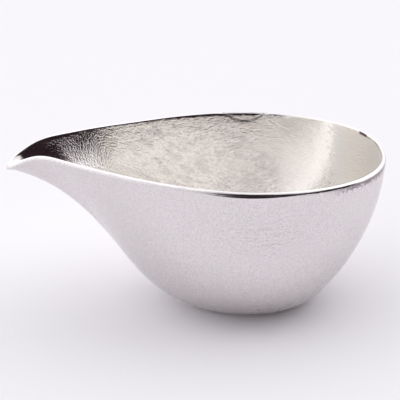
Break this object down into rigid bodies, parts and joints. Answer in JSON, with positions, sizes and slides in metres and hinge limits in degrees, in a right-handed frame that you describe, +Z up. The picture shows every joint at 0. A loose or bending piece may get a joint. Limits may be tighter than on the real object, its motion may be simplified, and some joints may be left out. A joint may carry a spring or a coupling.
{
  "type": "sake pourer",
  "caption": "Cast tin pourer with a teardrop bowl on a flat oval foot, a burnished lip and a beak-like spout, for serving sake or other cold drinks.",
  "frame": {"origin": "centre of the flat foot, on its underside", "axes": "+Z up, -X towards the tip of the spout, Y across the bowl"},
  "size_m": [0.16, 0.0962, 0.0703],
  "materials": {
    "cast_tin": "satin sand-cast skin outside, scraped and brighter inside",
    "burnished_tin": "burnished smooth"
  },
  "bodies": {
    "root": {"base_disc": "cast_tin", "bowl_wall": "cast_tin", "pouring_spout": "cast_tin", "rim_lip": "burnished_tin"}
  },
  "joints": []
}
